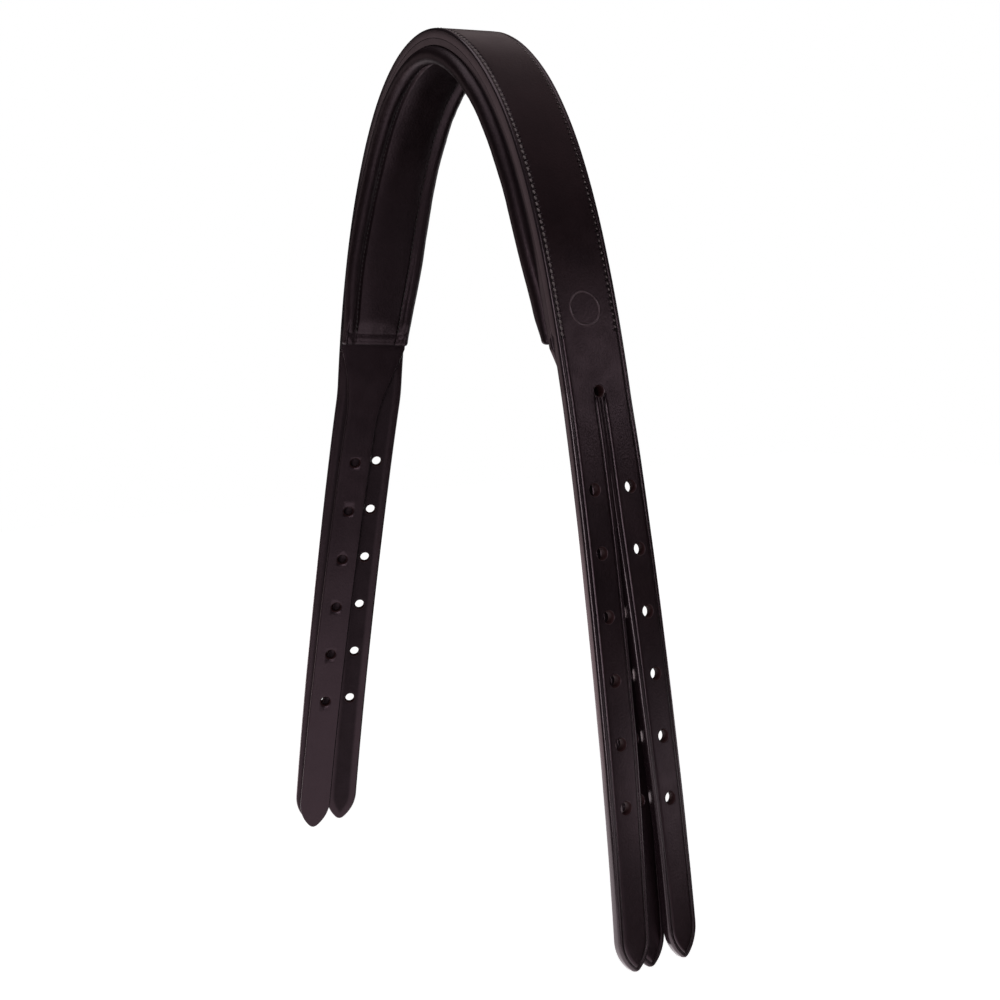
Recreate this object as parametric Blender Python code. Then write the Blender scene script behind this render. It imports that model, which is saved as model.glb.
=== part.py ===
"""Padded bridle headpiece: a crown strap split into billets at its ends, a noseband strap and a poll pad."""

import math

import bmesh
import bpy
from mathutils import Vector

# Lengths are in millimetres and angles in degrees.
MM = 0.001

# The curve that every layer follows, measured along the outer face from the top of the poll
leg_heading = 83.0        # how steeply the straight part of a leg runs down
bend_length = 57.0        # how slowly the top of the arch straightens out
tip_droop = 4.1           # how much steeper a leg runs at its tip
droop_start = 200.0
path_step = 1.0

# How the off-side leg is turned about its own length
off_turn = 24.0
turn_start_distance = 60.0
turn_end_distance = 200.0

# Crown strap and the billets that its ends are split into
strap_thickness = 3.8
billet_width = 13.4
slit_width = 0.8
stop_hole = 173.0         # distance of the stop hole from the top of the poll
stop_hole_diameter = 4.5
root_below_stop_hole = 4.0
billet_tip = 375.0
noseband_tip = 377.0
tip_arc_ratio = 2.2       # radius of each side of the point, in half billet widths
edge_round = 0.9

# Buckle holes
first_hole = 207.0
hole_pitch = 22.0
hole_count = 6
hole_diameter = 4.2

# Noseband strap, the inner layer
noseband_thickness = 2.6
noseband_taper_start = 156.0
noseband_taper_end = 190.0
noseband_edge_round = 0.6
noseband_stand_off = 1.0  # how far its billets hang clear of the ones over them

# Poll pad
pad_half_length = 154.0
pad_half_width = 16.8
pad_end_half_width = 14.2
pad_narrowing_start = 112.0
pad_roll_radius = 3.2
pad_channel_depth = 5.2
pad_channel_inset = 6.2
channel_bank = 1.4
channel_bank_drop = 0.5
pad_panel_depth = 6.6
pad_panel_half_width = 4.0
pad_end_depth_ratio = 0.72
pad_end_softening = 9.0
pad_end_round = 1.4
cover_thickness = 1.1
cover_end_thickness = 1.6
turned_edge_half_gap = 8.0

# The off-side noseband strap strays across the leg before its billet begins
off_noseband_stray = -3.3
stray_start_distance = 164.0

# How far each billet strays across the leg for each millimetre down it
billet_lean = {
    "near_cheek_billet": -0.008,
    "near_throat_billet": 0.027,
    "near_noseband_billet": 0.007,
    "off_cheek_billet": -0.096,
    "off_throat_billet": -0.098,
    "off_noseband_billet": -0.112,
}

# Clearance between pieces that touch in the real headpiece
layer_gap = 0.3

# Facets
crest_facet = 6.0         # length of the level facet at the top of the poll
facet_bend = 7.0
straight_facet = 12.0     # longest facet on the straight near-side leg
turned_facet = 7.0        # longest facet where the off-side leg turns
shortest_facet = 3.0
billet_facet = 22.0
hole_sides = 12
edge_steps = 2
thin_edge_steps = 1
roll_steps = 4
lining_roll_steps = 2
point_steps = 5
taper_steps = 6

# Cutters run this far past the faces they open, and points this close are one point
cutter_overshoot = 1.0
same_point = 0.0005

# Colour and roughness of dark brown bridle leather; the inner layers are duller than the finished grain side
outer_leather = ((0.020, 0.011, 0.012), 0.38)
inner_leather = ((0.018, 0.010, 0.010), 0.48)
pad_leather = ((0.022, 0.013, 0.013), 0.55)
pad_filling = ((0.45, 0.42, 0.36), 0.9)

strap_width = 2 * billet_width + slit_width
billet_centre = (billet_width + slit_width) / 2
billet_root = stop_hole + root_below_stop_hole
noseband_outer_face = -(strap_thickness + layer_gap)
noseband_inner_face = noseband_outer_face - noseband_thickness
noseband_billet_outer_face = noseband_outer_face - noseband_stand_off
noseband_billet_inner_face = noseband_inner_face - noseband_stand_off
pad_top = noseband_inner_face - layer_gap
pad_underside = pad_top - pad_panel_depth
roll_centre = pad_half_width - pad_roll_radius
channel_centre = pad_half_width - pad_channel_inset

NEAR = 1
OFF = -1
sides = ((NEAR, "near"), (OFF, "off"))
noseband_stray = {NEAR: 0.0, OFF: off_noseband_stray}


def smoothstep(value, low, high):
    """Rises smoothly from 0 at low to 1 at high."""
    share = min(max((value - low) / (high - low), 0.0), 1.0)
    return share * share * (3 - 2 * share)


def heading(distance):
    """Angle below level of the outer face, this far from the top of the poll."""
    droop_share = max(distance - droop_start, 0.0) / (billet_tip - droop_start)
    bend = leg_heading * (1 - math.exp(-distance / bend_length))
    return math.radians(bend + tip_droop * droop_share ** 2)


def walk_the_curve(reach):
    """Positions on the outer face of one leg, one for every path step."""
    places = [(0.0, 0.0)]
    for step in range(math.ceil(reach / path_step) + 1):
        angle = heading((step + 0.5) * path_step)
        across, up = places[-1]
        places.append((across + path_step * math.cos(angle), up - path_step * math.sin(angle)))
    return places


curve_places = walk_the_curve(noseband_tip)


def place_on(distance):
    """How far out and how far up the outer face is, this far from the top of the poll."""
    step = int(distance / path_step)
    share = distance / path_step - step
    low, high = curve_places[step], curve_places[step + 1]
    return low[0] + share * (high[0] - low[0]), low[1] + share * (high[1] - low[1])


# The level facet in the middle of the pad's underside rests on the poll and lies at height zero
crest_heading = heading(crest_facet / 2)
rest_height = place_on(crest_facet / 2)[1] + pad_underside * math.cos(crest_heading)


def frame_at(along):
    """Place, direction across and outward direction, this far along; the near side counts as positive."""
    side = NEAR if along >= 0 else OFF
    distance = abs(along)
    run, rise = place_on(distance)
    angle = heading(distance)
    outward = Vector((side * math.sin(angle), 0, math.cos(angle)))
    across = Vector((0, 1, 0))
    turn = 0.0
    if side == OFF:
        turn = math.radians(off_turn) * smoothstep(distance, turn_start_distance, turn_end_distance)
    turned_outward = math.cos(turn) * outward + math.sin(turn) * across
    turned_across = math.cos(turn) * across - math.sin(turn) * outward
    place = Vector((side * run, 0, rise - rest_height))
    return place, turned_across, turned_outward


def bent(point):
    """Where a point of the flat headpiece (along, across, outward) lies once it is bent over the poll."""
    place, across, outward = frame_at(point.x)
    return (place + point.y * across + point.z * outward) * MM


def stations(reach):
    """Distances from the top of the poll at which the layers of the arch are creased into facets."""
    found = []
    for side in (NEAR, OFF):
        distance = crest_facet / 2
        while distance < reach:
            found.append(side * distance)
            next_heading = math.degrees(heading(distance)) + facet_bend
            distance += turned_facet if side == OFF and distance > turn_start_distance else straight_facet
            if next_heading < leg_heading:
                distance = min(distance, -bend_length * math.log(1 - next_heading / leg_heading))
    return sorted(found)


def scored(mesh, places, centre):
    """Scores a flat mesh across at these distances and once along its centre line, where it will bend."""
    lines = [((place, 0, 0), (1, 0, 0)) for place in places] + [((0, centre, 0), (0, 1, 0))]
    for place, direction in lines:
        bmesh.ops.bisect_plane(
            mesh,
            geom=mesh.verts[:] + mesh.edges[:] + mesh.faces[:],
            dist=same_point,
            plane_co=place,
            plane_no=direction,
        )


def slab(outline, top, bottom):
    """A flat slab with this outline, as a mesh of its own."""
    mesh = bmesh.new()
    corners = [mesh.verts.new((along, across, bottom)) for along, across in outline]
    face = mesh.faces.new(corners)
    raised = bmesh.ops.extrude_face_region(mesh, geom=[face])
    for vertex in raised["geom"]:
        if isinstance(vertex, bmesh.types.BMVert):
            vertex.co.z = top
    bmesh.ops.recalc_face_normals(mesh, faces=mesh.faces[:])
    return mesh


def rounded(mesh, radius, steps, chosen):
    """Rounds those edges of a flat mesh that the test picks out."""
    edges = [edge for edge in mesh.edges if chosen(edge)]
    bmesh.ops.bevel(
        mesh,
        geom=edges,
        offset=radius,
        offset_type="OFFSET",
        segments=steps,
        profile=0.5,
        affect="EDGES",
        clamp_overlap=True,
    )


def object_of(name, mesh, collection):
    """Turns a finished mesh into an object."""
    data = bpy.data.meshes.new(name)
    mesh.to_mesh(data)
    mesh.free()
    item = bpy.data.objects.new(name, data)
    collection.objects.link(item)
    return item


def cut(item, cutter):
    """Takes a cutter's shape out of an object and makes the result its mesh."""
    cutter.hide_render = True
    cutter.display_type = "WIRE"
    modifier = item.modifiers.new("cut", "BOOLEAN")
    modifier.operation = "DIFFERENCE"
    modifier.solver = "EXACT"
    modifier.object = cutter
    view = bpy.context.evaluated_depsgraph_get()
    result = bpy.data.meshes.new_from_object(item.evaluated_get(view))
    item.modifiers.clear()
    item.data = result


def punched(name, holes, diameter, top, bottom):
    """A cutter with one upright punch for each hole."""
    mesh = bmesh.new()
    for along, across in holes:
        punch = bmesh.ops.create_cone(
            mesh,
            cap_ends=True,
            segments=hole_sides,
            radius1=diameter / 2,
            radius2=diameter / 2,
            depth=top - bottom,
        )
        bmesh.ops.translate(mesh, verts=punch["verts"], vec=(along, across, (top + bottom) / 2))
    return object_of(name, mesh, cutters)


def finish(item, places, material, reshape=None, origin=None):
    """Scores a flat object, reshapes and bends it, and gives it its material and its origin."""
    mesh = bmesh.new()
    mesh.from_mesh(item.data)
    bmesh.ops.remove_doubles(mesh, verts=mesh.verts[:], dist=same_point)
    scored(mesh, places, origin[1] if origin else 0)
    for vertex in mesh.verts:
        if reshape:
            vertex.co = reshape(vertex.co)
        vertex.co = bent(vertex.co)
    if origin:
        place = bent(Vector(origin))
        bmesh.ops.translate(mesh, verts=mesh.verts[:], vec=-place)
        item.location = place
    bmesh.ops.triangulate(mesh, faces=mesh.faces[:])
    bmesh.ops.recalc_face_normals(mesh, faces=mesh.faces[:])
    mesh.to_mesh(item.data)
    mesh.free()
    item.data.materials.clear()
    item.data.materials.append(material)


def material_of(name, colour_and_roughness):
    """A material of its own for one piece."""
    colour, roughness = colour_and_roughness
    material = bpy.data.materials.new(name)
    material.use_nodes = True
    shader = material.node_tree.nodes["Principled BSDF"]
    shader.inputs["Base Color"].default_value = (*colour, 1)
    shader.inputs["Roughness"].default_value = roughness
    shader.inputs["Metallic"].default_value = 0.0
    return material


def pointed_end(side, centre, tip):
    """Outline of a billet's pointed tip, from one straight side round to the other."""
    half = billet_width / 2
    radius = tip_arc_ratio * half
    sweep = math.acos((radius - half) / radius)
    shoulder = tip - radius * math.sin(sweep)
    one_side = []
    for step in range(point_steps + 1):
        angle = sweep * step / point_steps
        one_side.append((shoulder + radius * math.sin(angle), radius * math.cos(angle) - (radius - half)))
    outline = [(side * along, centre - across) for along, across in one_side]
    outline += [(side * along, centre + across) for along, across in reversed(one_side[:-1])]
    return outline


def make_billet(name, side, centre, root, tip, top, thickness, edge, steps, axis_height, material):
    """One billet: a strap with a pointed tip and punched holes, hinged where it leaves its strap."""
    half = billet_width / 2
    start = root + layer_gap
    outline = [(side * start, centre - half)]
    outline += pointed_end(side, centre, tip)
    outline += [(side * start, centre + half)]
    bottom = top - thickness
    mesh = slab(outline, top, bottom)

    def is_long_edge(edge_item):
        ends = edge_item.verts
        level = abs(ends[0].co.z - ends[1].co.z) < edge
        at_root = all(abs(abs(end.co.x) - start) < edge for end in ends)
        return level and not at_root

    rounded(mesh, edge, steps, is_long_edge)
    billet = object_of(name, mesh, parts)
    lean = billet_lean[name]
    distances = [first_hole + number * hole_pitch for number in range(hole_count)]
    holes = [(side * distance, centre) for distance in distances]
    above, below = top + cutter_overshoot, bottom - cutter_overshoot
    cut(billet, punched(name + "_punch", holes, hole_diameter, above, below))

    def leaned(point):
        return Vector((point.x, point.y + lean * (abs(point.x) - root), point.z))

    places = []
    place = start + billet_facet / 2
    while place < tip - billet_facet / 2:
        places.append(side * place)
        place += billet_facet
    finish(billet, places, material, leaned, (side * root, centre, axis_height))


def make_crown_strap(material):
    """The middle of the outer strap, with a stop hole and the start of the slit at each end."""
    half = strap_width / 2
    outline = [(-billet_root, -half), (billet_root, -half), (billet_root, half), (-billet_root, half)]
    mesh = slab(outline, 0, -strap_thickness)

    def is_side_edge(edge_item):
        ends = edge_item.verts
        return abs(ends[0].co.x - ends[1].co.x) > strap_width

    rounded(mesh, edge_round, edge_steps, is_side_edge)
    strap = object_of("crown_strap", mesh, parts)
    above, below = cutter_overshoot, -strap_thickness - cutter_overshoot
    for side, label in sides:
        hole = (side * stop_hole, 0)
        cut(strap, punched(label + "_stop_punch", [hole], stop_hole_diameter, above, below))
        low = side * stop_hole
        high = side * (billet_root + cutter_overshoot)
        knife_outline = [
            (low, -slit_width / 2),
            (high, -slit_width / 2),
            (high, slit_width / 2),
            (low, slit_width / 2),
        ]
        knife = slab(knife_outline, above, below)
        cut(strap, object_of(label + "_knife", knife, cutters))
    finish(strap, stations(billet_root), material)


def make_noseband_strap(material):
    """The middle of the inner strap, full width under the pad and narrowed to a billet at each end."""
    half = strap_width / 2
    narrow = billet_width / 2
    taper = []
    for step in range(taper_steps + 1):
        share = step / taper_steps
        along = noseband_taper_start + share * (noseband_taper_end - noseband_taper_start)
        across = half - (half - narrow) * math.sin(share * math.pi / 2)
        taper.append((along, across))
    outline = [(along, -across) for along, across in taper]
    outline += [(along, across) for along, across in reversed(taper)]
    outline += [(-along, across) for along, across in taper]
    outline += [(-along, -across) for along, across in reversed(taper)]
    mesh = slab(outline, noseband_outer_face, noseband_inner_face)

    def is_side_edge(edge_item):
        ends = edge_item.verts
        level = abs(ends[0].co.z - ends[1].co.z) < noseband_edge_round
        return level and abs(ends[0].co.x - ends[1].co.x) > noseband_edge_round

    rounded(mesh, noseband_edge_round, thin_edge_steps, is_side_edge)
    strap = object_of("noseband_strap", mesh, parts)

    def eased(point):
        distance = abs(point.x)
        share = max(distance - stray_start_distance, 0.0) / (noseband_taper_end - stray_start_distance)
        stray = share * noseband_stray[NEAR if point.x > 0 else OFF]
        drop = noseband_stand_off * smoothstep(distance, pad_half_length, noseband_taper_end)
        return Vector((point.x, point.y + stray, point.z - drop))

    finish(strap, stations(noseband_taper_end), material, eased)


def roll(radius, steps):
    """The half circle of the pad's edge roll, from its underside round to its top."""
    points = []
    for step in range(steps + 1):
        angle = math.pi * (step / steps - 0.5)
        across = roll_centre + radius * math.cos(angle)
        height = pad_top - pad_roll_radius + radius * math.sin(angle)
        points.append((across, height))
    return points


def pad_outside():
    """Half of the pad's cross-section, from the middle of its underside to its top."""
    channel_bed = pad_top - pad_channel_depth
    points = [
        (pad_panel_half_width, pad_underside),
        (channel_centre - channel_bank, channel_bed - channel_bank_drop),
        (channel_centre, channel_bed),
    ]
    return points + roll(pad_roll_radius, roll_steps)


def pad_inside(inset, opening, rim):
    """Half of the space inside the pad, this far inside its skin and open through its top."""
    points = [
        (pad_panel_half_width, pad_underside + inset),
        (channel_centre, pad_top - pad_channel_depth + inset),
    ]
    points += roll(pad_roll_radius - inset, lining_roll_steps)
    return points + [(opening, pad_top - inset), (opening, rim)]


def pad_prism(profile, half_length):
    """A straight bar with this cross-section, mirrored about its middle."""
    mesh = bmesh.new()
    section = profile + [(-across, height) for across, height in reversed(profile)]
    corners = [mesh.verts.new((-half_length, across, height)) for across, height in section]
    face = mesh.faces.new(corners)
    raised = bmesh.ops.extrude_face_region(mesh, geom=[face])
    for vertex in raised["geom"]:
        if isinstance(vertex, bmesh.types.BMVert):
            vertex.co.x = half_length
    bmesh.ops.recalc_face_normals(mesh, faces=mesh.faces[:])
    return mesh


def pad_shape(point):
    """Narrows the pad towards its ends and lets its underside settle there."""
    distance = abs(point.x)
    narrowing = smoothstep(distance, pad_narrowing_start, pad_half_length)
    width_ratio = 1 - narrowing * (1 - pad_end_half_width / pad_half_width)
    settling = smoothstep(distance, pad_half_length - pad_end_softening, pad_half_length)
    depth_ratio = 1 - settling * (1 - pad_end_depth_ratio)
    height = point.z
    if height < pad_top:
        height = pad_top + (height - pad_top) * depth_ratio
    return Vector((point.x, point.y * width_ratio, height))


def make_pad(cover_material, foam_material):
    """The soft leather cover, turned in over the foam, and the foam that fills it."""
    softening_start = pad_half_length - pad_end_softening
    places = stations(softening_start - shortest_facet)
    for side in (NEAR, OFF):
        places.append(side * softening_start)
        places.append(side * (softening_start + pad_end_softening / 2))

    mesh = pad_prism(pad_outside(), pad_half_length)

    def is_end_edge(edge_item):
        ends = edge_item.verts
        at_one_end = abs(ends[0].co.x - ends[1].co.x) < same_point
        return at_one_end and min(end.co.z for end in ends) < pad_top - same_point

    rounded(mesh, pad_end_round, thin_edge_steps, is_end_edge)
    cover = object_of("poll_pad_cover", mesh, parts)
    hollow = pad_prism(
        pad_inside(cover_thickness, turned_edge_half_gap, pad_top + cutter_overshoot),
        pad_half_length - cover_end_thickness,
    )
    cut(cover, object_of("cover_hollow", hollow, cutters))
    finish(cover, places, cover_material, pad_shape)

    foam_inset = cover_thickness + layer_gap
    foam = object_of(
        "poll_pad_foam",
        pad_prism(
            pad_inside(foam_inset, turned_edge_half_gap - layer_gap, pad_top),
            pad_half_length - cover_end_thickness - layer_gap,
        ),
        parts,
    )
    finish(foam, places, foam_material, pad_shape)


for old in list(bpy.data.objects):
    bpy.data.objects.remove(old)

parts = bpy.data.collections.new("padded_bridle_headpiece")
cutters = bpy.data.collections.new("cutters")
bpy.context.scene.collection.children.link(parts)
bpy.context.scene.collection.children.link(cutters)

make_crown_strap(material_of("crown_strap_leather", outer_leather))
make_noseband_strap(material_of("noseband_strap_leather", inner_leather))
make_pad(material_of("poll_pad_cover_leather", pad_leather), material_of("poll_pad_foam", pad_filling))

for side, prefix in sides:
    for role, centre in (("cheek", -billet_centre), ("throat", billet_centre)):
        billet_name = f"{prefix}_{role}_billet"
        make_billet(
            billet_name,
            side,
            centre,
            billet_root,
            billet_tip,
            0.0,
            strap_thickness,
            edge_round,
            edge_steps,
            0.0,
            material_of(billet_name + "_leather", outer_leather),
        )
    billet_name = f"{prefix}_noseband_billet"
    make_billet(
        billet_name,
        side,
        noseband_stray[side],
        noseband_taper_end,
        noseband_tip,
        noseband_billet_outer_face,
        noseband_thickness,
        noseband_edge_round,
        thin_edge_steps,
        noseband_billet_inner_face,
        material_of(billet_name + "_leather", inner_leather),
    )
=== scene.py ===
"""Dresses a padded bridle headpiece: crown strap and billets, noseband strap, poll pad and stitching."""

import math

import bmesh
import bpy
from mathutils import Matrix, Vector, noise


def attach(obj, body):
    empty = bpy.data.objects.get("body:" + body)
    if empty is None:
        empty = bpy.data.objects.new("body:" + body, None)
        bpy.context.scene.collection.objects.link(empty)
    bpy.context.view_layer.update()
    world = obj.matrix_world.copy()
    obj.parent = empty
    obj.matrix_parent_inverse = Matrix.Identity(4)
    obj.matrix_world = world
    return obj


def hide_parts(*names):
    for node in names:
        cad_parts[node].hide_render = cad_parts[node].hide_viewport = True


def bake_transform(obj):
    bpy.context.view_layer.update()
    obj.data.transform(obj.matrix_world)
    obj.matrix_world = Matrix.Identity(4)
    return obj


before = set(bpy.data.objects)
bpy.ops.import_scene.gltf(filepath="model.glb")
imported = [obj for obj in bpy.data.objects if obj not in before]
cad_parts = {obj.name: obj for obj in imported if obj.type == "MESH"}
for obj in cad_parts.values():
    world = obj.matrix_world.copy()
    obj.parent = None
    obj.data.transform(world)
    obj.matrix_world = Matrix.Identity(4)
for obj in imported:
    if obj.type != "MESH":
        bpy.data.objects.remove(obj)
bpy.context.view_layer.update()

# Sizes of the headpiece, in millimetres along the strap from the top of the poll, and angles in degrees
MM = 0.001
NEAR, OFF = 1, -1
leg_heading, bend_length = 83.0, 57.0
tip_droop, droop_start, billet_tip = 4.1, 200.0, 375.0
off_turn, turn_start, turn_end = 24.0, 60.0, 200.0
crest_half_facet = 3.0
strap_half_width, strap_thickness = 13.8, 3.8
billet_half_width, billet_centre = 6.7, 7.1
slit_top, billet_root = 173.0, 177.0
first_hole, hole_pitch, hole_count, hole_radius = 207.0, 22.0, 6, 2.1
stop_hole_radius = 1.9
noseband_top, noseband_thickness, noseband_tip = -4.0, 2.7, 377.0
taper_start, taper_end = 156.0, 190.0
middle_reach, noseband_stand_off = 140.0, 1.0
pad_top, pad_underside = -6.8, -13.6
pad_half_length, pad_half_width, pad_end_half_width = 154.0, 16.8, 14.2
pad_narrowing_start = 112.0
roll_radius, channel_centre = 3.2, 10.6

# How the billets hang: how they lean, curl inwards, turn about their length or stray to one side
lean = {"near_cheek": -0.008, "near_throat": 0.027, "near_noseband": 0.007}
lean.update({"off_cheek": -0.096, "off_throat": -0.098, "off_noseband": -0.112})
billet_curl, curl_start, curl_end = 0.26, 185.0, 240.0
billet_twist, twist_start, twist_end = {"near_throat": 0.10}, 205.0, 310.0
noseband_stray, stray_start, stray_ease, stray_run = {"off": -3.6}, 156.0, 16.0, 26.0

# Leather work
crease_inset, crease_half_width, crease_depth = 1.85, 0.46, 0.42
ring_along, ring_across, ring_radius = 143.6, -0.6, 6.0
groove_half_width, groove_depth = 0.5, 0.4
slit_fullness, slit_fullest = 0.36, 0.6
slit_fill = {"near": (0.0145, 290.0, 350.0), "off": (0.0, 200.0, 270.0)}
layer_gap = -noseband_top - strap_thickness
sewn_lift = layer_gap + 0.04
front_row, rear_row, stitch_pitch = -11.6, 11.0, 2.25
front_row_end, rear_row_end, lining_row_end = 154.6, 152.0, 148.0
crown_seed, noseband_seed = 3.0, 11.0


def eased(value, low, high):
    share = min(max((value - low) / (high - low), 0.0), 1.0)
    return share * share * (3 - 2 * share)


def ridge(value, middle, width):
    """One at the middle, and next to nought at twice this width from it."""
    return math.exp(-((value - middle) / width) ** 2)


def eased_run(distance, start, ease):
    """Length past the middle of an ease that begins at start, smooth where it begins."""
    run = max(distance - start, 0.0)
    return run * run / (2 * ease) if run < ease else run - ease / 2


def spaced(low, high, step):
    count = max(1, round((high - low) / step))
    return [low + (high - low) * i / count for i in range(count + 1)]


def crowding(steps):
    """Shares of a length up to the whole, closer together towards its end."""
    return [math.sin(math.pi / 2 * i / steps) for i in range(1, steps + 1)]


def circle(radius, sides):
    turns = [2 * math.pi * i / sides for i in range(sides)]
    return [(radius * math.cos(turn), radius * math.sin(turn)) for turn in turns]


# The curve of the headpiece over the poll

def heading(distance):
    """Angle below level of the outer face, this far from the top of the poll."""
    droop = max(distance - droop_start, 0.0) / (billet_tip - droop_start)
    return math.radians(leg_heading * (1 - math.exp(-distance / bend_length)) + tip_droop * droop ** 2)


def walk_the_curve(reach):
    places = [(0.0, 0.0)]
    for step in range(reach):
        angle = heading(step + 0.5)
        out, up = places[-1]
        places.append((out + math.cos(angle), up - math.sin(angle)))
    return places


curve_places = walk_the_curve(400)


def place_on(distance):
    step = int(distance)
    share = distance - step
    low, high = curve_places[step], curve_places[step + 1]
    return low[0] + share * (high[0] - low[0]), low[1] + share * (high[1] - low[1])


rest_height = place_on(crest_half_facet)[1] + pad_underside * math.cos(heading(crest_half_facet))


def frame_at(along):
    """Place on the outer face, direction across and outward direction, this far along the strap."""
    side = NEAR if along >= 0 else OFF
    distance = abs(along)
    run, rise = place_on(distance)
    angle = heading(distance)
    outward = Vector((side * math.sin(angle), 0, math.cos(angle)))
    across = Vector((0, 1, 0))
    turn = 0.0 if side == NEAR else math.radians(off_turn) * eased(distance, turn_start, turn_end)
    turned_outward = math.cos(turn) * outward + math.sin(turn) * across
    turned_across = math.cos(turn) * across - math.sin(turn) * outward
    return Vector((side * run, 0, rise - rest_height)), turned_across, turned_outward


def bent(along, over, out):
    """Where a point of the flat headpiece lies once it is bent over the poll, in metres."""
    place, across, outward = frame_at(along)
    return (place + over * across + out * outward) * MM


# Flat leather, with its edges beaded and creased, before it is bent

# Each layer's top and thickness, the width and drop of its beaded edge, and the round of its back edge
crown_layer = (0.0, strap_thickness, 1.4, 1.0, 0.7)
noseband_layer = (noseband_top, noseband_thickness, 1.2, 0.8, 0.6)

# Insets of a section's points, close together at the crease and wide apart in the middle
face_insets = [1.52, 1.66, 1.85, 2.0, 2.15, 2.35, 2.6, 3.1, 4.6, 6.6, 9.0, 11.4]
back_insets = [2.2, 4.0, 6.6, 9.0, 11.4]
edge_turns = [1 - math.cos(math.radians(angle)) for angle in range(0, 91, 18)]

hole_sides, ring_sides, groove_sides = 28, 72, 12
layers_part, layers_apart = 148.0, 168.0
slit_parts, slit_apart = slit_top + 20, slit_top + 97
loose_start, loose_end = 150.0, 175.0
hide_edge_angle = 38


def rounding(width, drop, from_edge):
    """How far a rounded edge falls below its face, this far in from the edge."""
    if from_edge >= width:
        return 0.0
    return drop * (1 - math.sqrt(max(1 - ((width - from_edge) / width) ** 2, 0.0)))


def level(along):
    return 0.0


def nowhere(distance, edge=0):
    return 0.0


def whole(distance, edge=0):
    return 1.0


def parting(distance, low, high):
    """Nearly square where two edges lie together, fully rounded once they have parted."""
    return 0.12 + 0.88 * eased(distance, low, high)


def laminated(distance, edge=0):
    """How rounded the edges are that the two straps turn to each other."""
    return parting(abs(distance), layers_part, layers_apart)


def join_rings(mesh, rings):
    """Faces between each ring of points and the next."""
    for low, high in zip(rings, rings[1:]):
        for i in range(len(low)):
            j = (i + 1) % len(low)
            mesh.faces.new((low[i], low[j], high[j], high[i]))


def flat_strap(distances, half_width, slope, layer, creased, beaded, backed, closed_tip=False):
    """A strap lying flat: a section at each distance, beaded at its edges and creased beside them."""
    top, thickness, bead, drop, back = layer
    upper = [bead * turn for turn in edge_turns] + face_insets
    lower = [back * turn for turn in edge_turns] + back_insets
    mesh = bmesh.new()
    rings = []
    for distance in distances:
        tilt = math.cos(math.atan(slope(distance)))

        def point(side, inset, is_face):
            half = half_width(distance, side)
            over = max(half - inset / tilt, 0.0)
            from_edge = (half - over) * tilt
            if is_face:
                out = top - beaded(distance, side) * rounding(bead, drop, from_edge)
                crease = crease_depth * ridge(from_edge, crease_inset, crease_half_width)
                out -= creased(distance, side) * crease
            else:
                out = top - thickness + backed(distance) * rounding(back, back, from_edge)
            return mesh.verts.new((distance, side * over, out))

        ring = [point(-1, inset, True) for inset in upper]
        ring += [point(1, inset, True) for inset in reversed(upper)]
        ring += [point(1, inset, False) for inset in lower]
        ring += [point(-1, inset, False) for inset in reversed(lower)]
        rings.append(ring)
    join_rings(mesh, rings)
    mesh.faces.new(rings[0])
    if not closed_tip:
        mesh.faces.new(list(reversed(rings[-1])))
    bmesh.ops.remove_doubles(mesh, verts=mesh.verts[:], dist=0.002)
    bmesh.ops.dissolve_degenerate(mesh, dist=0.001, edges=mesh.edges[:])
    bmesh.ops.recalc_face_normals(mesh, faces=mesh.faces[:])
    return mesh


def add_object(name, data):
    item = bpy.data.objects.new(name, data)
    bpy.context.scene.collection.objects.link(item)
    return item


def mesh_object(name, mesh):
    data = bpy.data.meshes.new(name)
    mesh.to_mesh(data)
    mesh.free()
    return add_object(name, data)


def apply_modifiers(item):
    """Turns what an object's modifiers make into its own plain mesh."""
    view = bpy.context.evaluated_depsgraph_get()
    made = bpy.data.meshes.new_from_object(item.evaluated_get(view))
    item.modifiers.clear()
    item.data = made


def cut_away(item, mesh):
    """Takes the shape of a closed tool out of a flat strap."""
    bmesh.ops.recalc_face_normals(mesh, faces=mesh.faces[:])
    cutter = mesh_object("cutter", mesh)
    modifier = item.modifiers.new("cut", "BOOLEAN")
    modifier.operation = "DIFFERENCE"
    modifier.solver = "EXACT"
    modifier.object = cutter
    apply_modifiers(item)
    bpy.data.objects.remove(cutter)


def punch_profile(radius, top, bottom):
    """The punch's radius at each height, from below to above, wider at both faces for a soft rim."""
    return [
        (radius + 0.75, bottom - 1.0),
        (radius + 0.5, bottom - 0.02),
        (radius + 0.22, bottom + 0.12),
        (radius, bottom + 0.32),
        (radius - 0.12, bottom + 0.7),
        (radius - 0.22, top - 1.3),
        (radius - 0.12, top - 0.8),
        (radius + 0.05, top - 0.4),
        (radius + 0.24, top - 0.16),
        (radius + 0.5, top - 0.03),
        (radius + 0.8, top + 1.0),
    ]


def punch(item, holes, layer):
    """Punches holes through a flat strap, each given by its place along and across and its radius."""
    top, thickness = layer[:2]
    mesh = bmesh.new()
    for along, over, radius in holes:
        rings = []
        for size, out in punch_profile(radius, top, top - thickness):
            rim = circle(size, hole_sides)
            rings.append([mesh.verts.new((along + x, over + y, out)) for x, y in rim])
        join_rings(mesh, rings)
        mesh.faces.new(list(reversed(rings[0])))
        mesh.faces.new(rings[-1])
    cut_away(item, mesh)


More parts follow.
